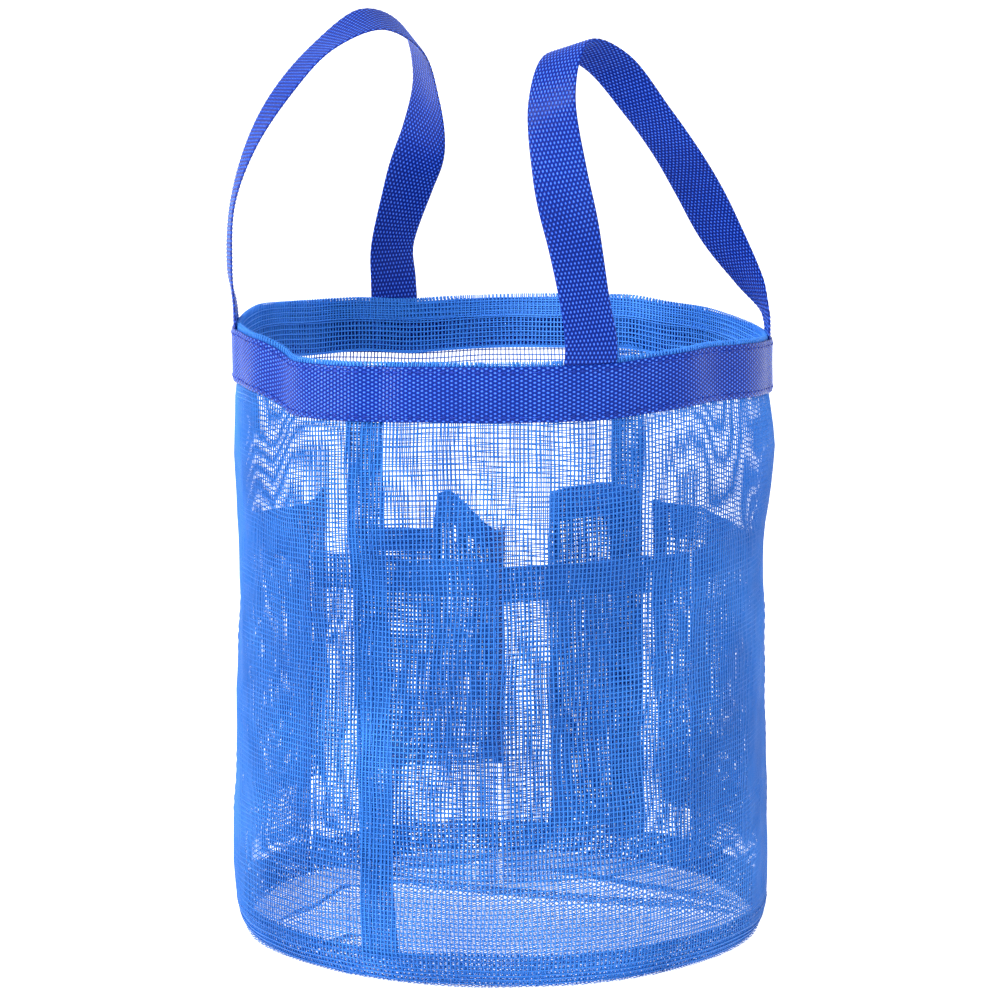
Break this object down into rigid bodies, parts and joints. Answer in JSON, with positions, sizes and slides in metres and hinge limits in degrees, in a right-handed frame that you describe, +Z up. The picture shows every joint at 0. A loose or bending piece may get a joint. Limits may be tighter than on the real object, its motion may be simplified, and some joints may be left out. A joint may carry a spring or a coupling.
{
  "type": "mesh laundry bag",
  "caption": "Round see-through mesh carry bag with a webbing rim, webbing loop handles and a ring of inner pouch pockets.",
  "frame": {"origin": "centre of the round base, on the ground", "axes": "+Z up through the mouth of the bag; the handles lie on +X and -X, the side seams near -Y and +Y"},
  "size_m": [0.2244, 0.2252, 0.3795],
  "materials": {
    "wall_mesh": "open leno-like mesh of coated threads, semi-gloss",
    "pocket_mesh": "open mesh, semi-gloss",
    "floor_mesh": "open mesh laid at 45 degrees, wrinkled",
    "seam_mesh": "doubled mesh",
    "facing_mesh": "mesh turned inside the rim",
    "hem_mesh": "folded mesh hem",
    "band_webbing": "woven polypropylene webbing, satin",
    "handle_webbing": "woven polypropylene webbing, satin",
    "thread": "polyester sewing thread"
  },
  "bodies": {
    "bag": {"wall_panel_right": "wall_mesh", "wall_panel_left": "wall_mesh", "side_seam_front": "seam_mesh", "side_seam_back": "seam_mesh", "rim_facing": "facing_mesh", "floor_panel": "floor_mesh", "base_seam_binding": "seam_mesh", "rim_band": "band_webbing", "handle_right_bends": "handle_webbing", "handle_left_bends": "handle_webbing", "handle_right_feet": "handle_webbing", "handle_left_feet": "handle_webbing", "rim_stitching_upper": "thread", "rim_stitching_lower": "thread", "side_seam_stitching": "thread", "base_stitching": "thread", "pocket_stitching": "thread", "pocket_1": "pocket_mesh", "pocket_2": "pocket_mesh", "pocket_3": "pocket_mesh", "pocket_4": "pocket_mesh", "pocket_5": "pocket_mesh", "pocket_6": "pocket_mesh", "pocket_7": "pocket_mesh", "pocket_8": "pocket_mesh", "pocket_hem_1": "hem_mesh", "pocket_hem_2": "hem_mesh", "pocket_hem_3": "hem_mesh", "pocket_hem_4": "hem_mesh", "pocket_hem_5": "hem_mesh", "pocket_hem_6": "hem_mesh", "pocket_hem_7": "hem_mesh", "pocket_hem_8": "hem_mesh"},
    "handle_right": {"handle_right": "handle_webbing"},
    "handle_left": {"handle_left": "handle_webbing"}
  },
  "joints": [
    {"name": "handle_right_fold", "type": "hinge", "parent": "bag", "child": "handle_right", "pos_m": [0.0885, 0, 0.262], "axis": [0, 1, 0], "range_deg": [-28, 95], "deforming": ["handle_right_bends"]},
    {"name": "handle_left_fold", "type": "hinge", "parent": "bag", "child": "handle_left", "pos_m": [-0.09285, -0.00519, 0.262], "axis": [0.0558, -0.9984, 0], "range_deg": [-28, 95], "deforming": ["handle_left_bends"]}
  ]
}
